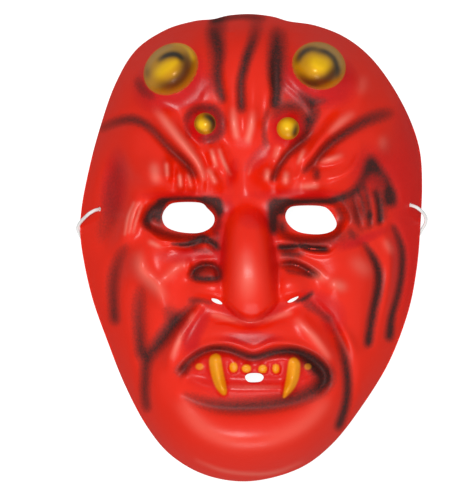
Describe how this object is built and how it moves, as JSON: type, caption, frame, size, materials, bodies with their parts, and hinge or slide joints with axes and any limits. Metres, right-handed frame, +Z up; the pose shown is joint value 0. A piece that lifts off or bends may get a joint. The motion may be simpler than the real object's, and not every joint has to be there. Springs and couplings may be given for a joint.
{
  "type": "devil half mask",
  "caption": "Thin formed plastic devil face that covers the front of the head, lying on its rim, with gold horns, open eyes, nostrils and mouth, and an elastic knotted through its side holes.",
  "frame": {"origin": "on the surface the mask lies on, under the middle of the face", "axes": "+Z up out of the face, +Y towards the top of the head, +X to the right of someone facing the mask"},
  "size_m": [0.1955, 0.26, 0.065],
  "materials": {
    "red_plastic": "satin, red through its thickness, with sprayed brown, dark red, yellow and gold paint on the outside",
    "white_elastic": "matte braided round elastic"
  },
  "bodies": {
    "root": {"mask_shell": "red_plastic", "elastic_cord": "white_elastic", "elastic_knot_left": "white_elastic", "elastic_knot_right": "white_elastic"}
  },
  "joints": []
}
